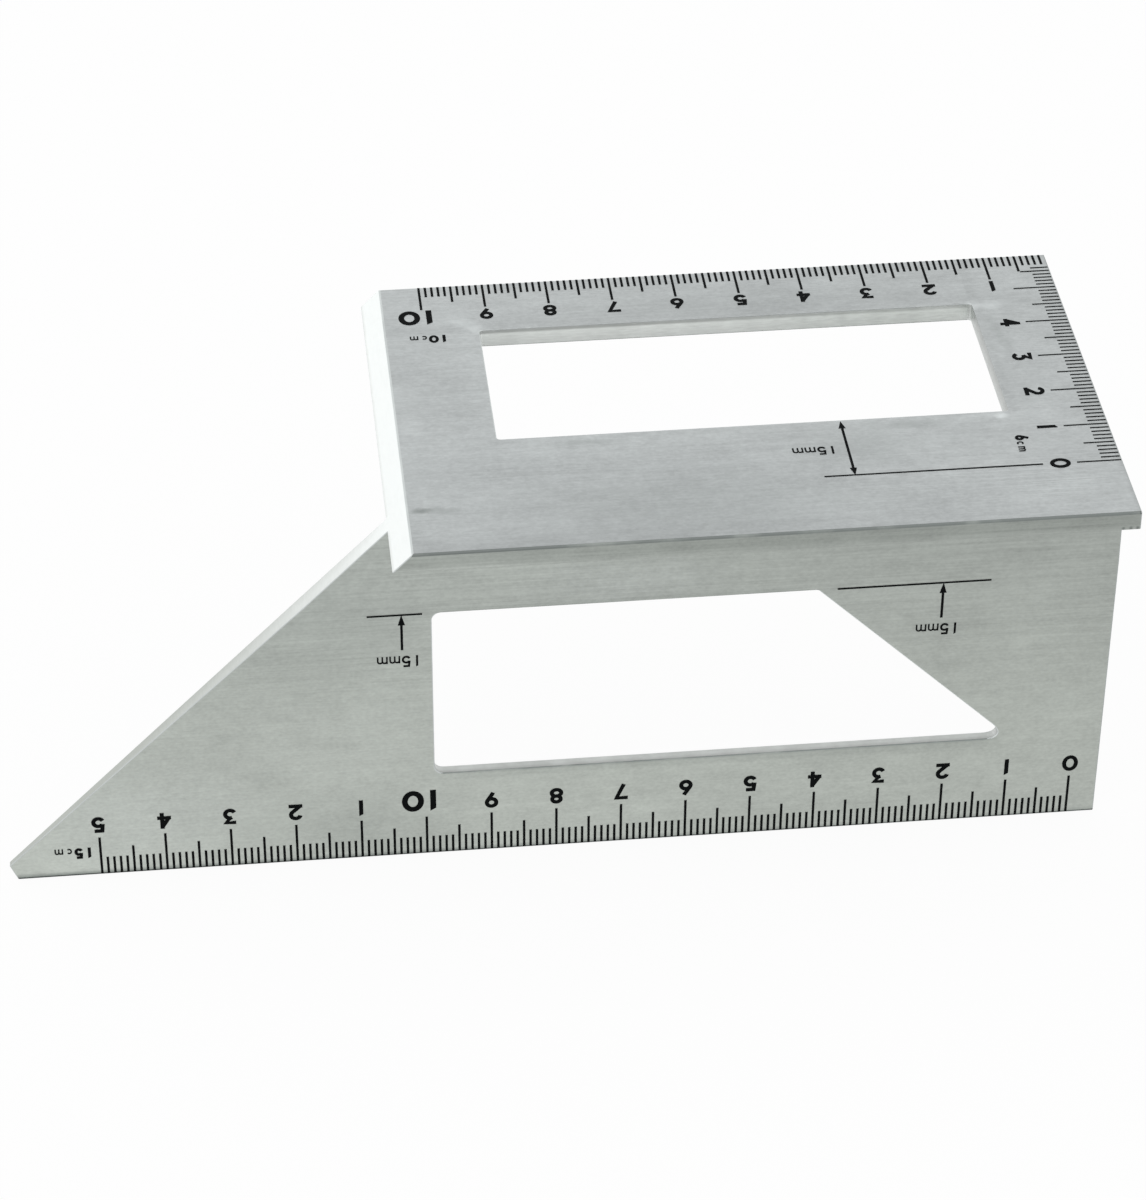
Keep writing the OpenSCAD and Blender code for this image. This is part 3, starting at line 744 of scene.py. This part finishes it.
def draw_section(section):
    """The plate with its lip, and the fence drawn down from it."""
    left = BODY_LOW.x - OVERRUN
    piece = add_block(
        "metal_section",
        (left, -section.lip_depth, 0),
        (0, section.plate_depth, section.plate_thickness),
    )
    edit(piece)
    for y in (0, -section.fence_thickness):
        bpy.ops.mesh.select_all(action="SELECT")
        bpy.ops.mesh.bisect(plane_co=(0, y, 0), plane_no=(0, 1, 0))

    def under_fence(face):
        spot = face.calc_center_median()
        return face.normal.z < -SQUARE_ON and -section.fence_thickness < spot.y < 0

    pick("FACE", under_fence)
    facet_height = section.facet_height
    taper_height = section.fence_height - section.straight_height
    for drop in (section.straight_height, taper_height - facet_height, facet_height):
        bpy.ops.mesh.extrude_region_move(TRANSFORM_OT_translate={"value": (0, 0, -drop)})

    def lean(depth, shift):
        """Push the fence's front edge at a depth back towards its rear face."""

        def front_edge(edge):
            centre = middle(edge)
            return runs_along(edge, 0) and abs(centre.z + depth) < NEAR and centre.y < -NEAR

        pick("EDGE", front_edge)
        bpy.ops.transform.translate(value=(0, shift, 0))

    taper = section.fence_thickness - section.scale_edge
    lean(section.fence_height - facet_height, taper * (1 - facet_height / taper_height))
    lean(section.fence_height, taper + section.facet_depth)
    return piece


def cut_slanted_end(section):
    """Cut the left end of the open piece on the slant, and the point off its tip."""
    down = Vector((-math.cos(section.slant), 0, -math.sin(section.slant)))
    top = Vector((-section.plate_length, 0, section.plate_thickness))
    tip = top + down * (section.plate_thickness + section.fence_height) / math.sin(section.slant)
    above = tip - down * section.tip_cut
    below = tip + Vector((section.tip_cut, 0, 0))
    for start, end in ((top, tip), (above, below)):
        outward = Vector((0, 1, 0)).cross(end - start).normalized()
        bpy.ops.mesh.select_all(action="SELECT")
        bpy.ops.mesh.bisect(plane_co=start, plane_no=outward, use_fill=True, clear_outer=True)


def cut_plate_window(piece, section, windows):
    low, high = plate_window_box(section, windows)
    top = high.z + OVERRUN
    cutter = add_block("plate_cutter", (low.x, low.y, -OVERRUN), (high.x, high.y, top))
    edit(cutter)
    for x in (low.x, high.x):
        for y in (low.y, high.y):
            round_corner(2, (x, y, 0), windows.plate_radius, windows.corner_steps)
    cut_away(piece, cutter)


def cut_fence_window(piece, section, windows):
    low, high, corner_x = fence_window_box(section, windows)
    front = -section.fence_thickness - OVERRUN
    cutter = add_block("fence_cutter", (low.x, front, low.z), (high.x, OVERRUN, high.z))
    edit(cutter)

    def upper_right(edge):
        centre = middle(edge)
        return runs_along(edge, 1) and centre.x > high.x - NEAR and centre.z > high.z - NEAR

    pick("EDGE", upper_right)
    bpy.ops.transform.translate(value=(corner_x - high.x, 0, 0))
    acute = windows.acute_radius / math.tan(section.slant / 2)
    wide = windows.wide_radius / math.tan((math.pi - section.slant) / 2)
    corners = [
        (low.x, low.z, windows.fence_radius),
        (low.x, high.z, windows.fence_radius),
        (high.x, low.z, acute),
        (corner_x, high.z, wide),
    ]
    for x, z, tangent in corners:
        round_corner(1, (x, 0, z), tangent, windows.corner_steps)
    cut_away(piece, cutter)


def break_edges(piece, section):
    """Break every outer edge of the piece, the plate's long drawn edges widest."""
    edit(piece)
    bpy.ops.mesh.remove_doubles(threshold=MERGED)
    bpy.ops.mesh.dissolve_limited(angle_limit=FLAT_ANGLE)
    bpy.ops.mesh.normals_make_consistent(inside=False)

    def is_sharp(edge):
        return edge.is_manifold and edge.is_convex and edge.calc_face_angle() > SHARP_ANGLE

    def is_drawn(edge):
        centre = middle(edge)
        sides = (-section.lip_depth, section.plate_depth)
        outer = min(abs(centre.y - side) for side in sides) < NEAR
        return is_sharp(edge) and runs_along(edge, 0) and outer and centre.z > NEAR

    # The drawn edges are picked twice, and their weights add up to 1
    weights = ((is_sharp, section.cut_break_share), (is_drawn, 1 - section.cut_break_share))
    for test, weight in weights:
        pick("EDGE", test)
        bpy.ops.transform.edge_bevelweight(value=weight)
    finish_with(
        piece,
        "BEVEL",
        limit_method="WEIGHT",
        width=section.drawn_break,
        segments=section.edge_steps,
        use_clamp_overlap=False,
        material=FINISHES.index("highlit edge"),
    )


def sort_faces(piece, section):
    """Give each face its finish: drawn, cut, slanted end or broken edge.

    The window's upper edges on the right and at the back take the upper face's finish, with its
    painted shade, instead of the painted highlight on the other broken edges.
    """
    drawn_planes = (
        (1, 0),
        (1, section.plate_depth),
        (1, -section.lip_depth),
        (2, 0),
        (2, section.plate_thickness),
        (2, -section.fence_height),
    )
    facet_top = section.facet_height - section.fence_height
    for face in piece.data.polygons:
        spot, normal = face.center, face.normal
        drawn = any(
            abs(spot[axis] - at) < NEAR and abs(normal[axis]) > SQUARE_ON
            for axis, at in drawn_planes
        )
        under_plate = facet_top < spot.z < -NEAR and spot.y < -section.scale_edge / 2
        fence_front = under_plate and normal.y < -SQUARE_ON
        at_scale_edge = normal.y < -LEANS and spot.z < facet_top
        faces_front = normal.y < -LEANS and abs(normal.x) < ACROSS
        faces_up = normal.z > ACROSS
        under_lip = -NEAR < spot.z < section.plate_thickness / 2 and spot.y < 0
        in_plate = spot.z > 0 and spot.x > -section.plate_length / 2
        window_right = normal.x < -LEANS and faces_up and in_plate
        window_back = faces_front and faces_up and spot.y > 0
        if under_lip and faces_front:
            finish = "brushed"
        elif window_right or window_back:
            finish = "upper"
        # The facet along the scale edge is painted dark, as shade
        elif at_scale_edge:
            finish = "scale edge"
        elif face.material_index == FINISHES.index("highlit edge"):
            # Painted shade on broken edges facing the front, and a painted highlight on the others
            finish = "shaded edge" if faces_front else "highlit edge"
        elif spot.z > section.plate_thickness - NEAR:
            finish = "upper"
        elif drawn or fence_front:
            finish = "brushed"
        elif normal.x < -LEANS and spot.x < -section.plate_length:
            finish = "end"
        else:
            finish = "cut"
        face.material_index = FINISHES.index(finish)


def smooth_edges(piece):
    """Shade the broken edges and round corners smooth, and keep the large faces flat."""
    select_only(piece)
    bpy.ops.object.shade_smooth_by_angle(angle=SMOOTH_ANGLE)
    finish_with(piece, "WEIGHTED_NORMAL", mode="FACE_AREA", weight=FACE_WEIGHT, keep_sharp=True)


class SQUARE_OT_section(bpy.types.Operator):
    """Model the metal section with its slanted end, its windows and its broken edges"""

    bl_idname = "square.section"
    bl_label = "Metal section"

    def execute(self, context):
        scene = context.scene
        section, windows, look = scene.square_section, scene.square_windows, scene.square_finish
        piece = draw_section(section)
        cut_slanted_end(section)
        cut_plate_window(piece, section, windows)
        cut_fence_window(piece, section, windows)
        finishes = {
            "brushed": brushed_finish(section, windows, look),
            "shaded edge": edge_finish("shaded_edges", look.shaded_edge, look.fence_colour, 0.2, 0.4),
            "highlit edge": edge_finish("highlit_edges", look.highlit_edge, look.plate_colour, 0.2),
            # Painted shade on the facet along the scale edge
            "scale edge": edge_finish("scale_edge", look.scale_edge, look.shaded_edge, 0.6),
            "upper": upper_face_finish(section, windows, look),
            "cut": cut_finish(section, windows, look),
            "end": end_finish(section, look),
        }
        for name in FINISHES:
            piece.data.materials.append(finishes[name])
        break_edges(piece, section)
        sort_faces(piece, section)
        smooth_edges(piece)
        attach(piece, "root")
        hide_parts(BODY_NODE)
        return {"FINISHED"}


class SQUARE_OT_print(bpy.types.Operator):
    """Give the printed scales, gauge marks and labels their ink"""

    bl_idname = "square.print"
    bl_label = "Print"

    def execute(self, context):
        ink = ink_finish(context.scene.square_finish)
        for name in PRINT_NODES:
            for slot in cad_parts[name].material_slots:
                slot.material = ink
        return {"FINISHED"}


def seen_directly(nodes):
    """1 for what the camera sees, straight or in the metal, and 0 for the light on things."""
    rays = ("Is Camera Ray", "Is Glossy Ray", "Is Transmission Ray")
    camera_ray, *others = [nodes.add("ShaderNodeLightPath", {}, {}, ray) for ray in rays]
    return sum(others, camera_ray).held()


def light_room(look):
    """Light from all round, which the camera and the metal see as plain white."""
    world = bpy.data.worlds.new("room")
    bpy.context.scene.world = world
    nodes = Nodes(world)
    strength = look.room_light + seen_directly(nodes) * (1 - look.room_light)
    white = {"Color": (1, 1, 1, 1), "Strength": strength}
    background = nodes.add("ShaderNodeBackground", {}, white)
    nodes.add("ShaderNodeOutputWorld", {}, {"Surface": background})


def floor_finish(look):
    """A pale floor that keeps a soft shadow."""
    material, nodes = new_material("pale_floor")
    glow = seen_directly(nodes) * look.floor_glow
    matt = nodes.add("ShaderNodeBsdfDiffuse", {}, {"Color": (*look.floor_colour, 1)})
    white = nodes.add("ShaderNodeEmission", {}, {})
    mixed = nodes.add("ShaderNodeMixShader", {}, [glow, matt, white])
    nodes.add("ShaderNodeOutputMaterial", {}, {"Surface": mixed})
    return material


def add_lamp(name, watts, size, place, aim):
    """A square lamp that points at a place."""
    aimed = (Vector(aim) - Vector(place)).to_track_quat("-Z", "Y").to_euler()
    bpy.ops.object.light_add(type="AREA", location=place, rotation=aimed)
    lamp = bpy.context.object
    lamp.name = name
    lamp.data.energy = watts
    lamp.data.size = size


class SQUARE_OT_stage(bpy.types.Operator):
    """Set up the floor, the lamps and the camera of the photograph's view"""

    bl_idname = "square.stage"
    bl_label = "Studio"

    def execute(self, context):
        look = context.scene.square_stage
        centre = (BODY_LOW + BODY_HIGH) / 2
        deselect()
        under = (centre.x, centre.y, BODY_LOW.z)
        bpy.ops.mesh.primitive_plane_add(size=FLOOR_SIZE, location=under)
        floor = bpy.context.object
        floor.name = "floor"
        bpy.ops.object.transform_apply(location=True, rotation=True, scale=True)
        floor.data.materials.append(floor_finish(look))
        light_room(look)
        add_lamp("side_lamp", look.side_lamp, SIDE_LAMP_SIZE, centre + SIDE_LAMP_WAY, centre)
        add_lamp("top_lamp", look.top_lamp, TOP_LAMP_SIZE, centre + TOP_LAMP_WAY, centre)
        bpy.ops.object.camera_add(location=look.camera_place, rotation=look.camera_turn)
        camera = bpy.context.object
        camera.data.lens = look.focal_length
        context.scene.camera = camera
        context.scene.view_settings.view_transform = "Standard"
        return {"FINISHED"}


GROUPS = {
    "square_section": SectionSizes,
    "square_windows": WindowSizes,
    "square_finish": FinishLook,
    "square_stage": StageLook,
}
OPERATORS = (SQUARE_OT_section, SQUARE_OT_print, SQUARE_OT_stage)


class SQUARE_PT_sidebar(bpy.types.Panel):
    """The square's pieces, with their sizes and colours"""

    bl_idname = "SQUARE_PT_sidebar"
    bl_label = "Three-dimensional square"
    bl_space_type = "VIEW_3D"
    bl_region_type = "UI"
    bl_category = "Square"

    def draw(self, context):
        for operator in OPERATORS:
            self.layout.operator(operator.bl_idname)
        for group_name, group_type in GROUPS.items():
            box = self.layout.box()
            for property_name in group_type.__annotations__:
                box.prop(getattr(context.scene, group_name), property_name)


CLASSES = (*GROUPS.values(), *OPERATORS, SQUARE_PT_sidebar)


def register():
    for one in CLASSES:
        bpy.utils.register_class(one)
    for name, group in GROUPS.items():
        setattr(bpy.types.Scene, name, PointerProperty(type=group))


def unregister():
    for name in GROUPS:
        delattr(bpy.types.Scene, name)
    for one in reversed(CLASSES):
        bpy.utils.unregister_class(one)


def main():
    register()
    bpy.ops.square.section()
    bpy.ops.square.print()
    bpy.ops.square.stage()
    deselect()


if __name__ == "__main__":
    main()
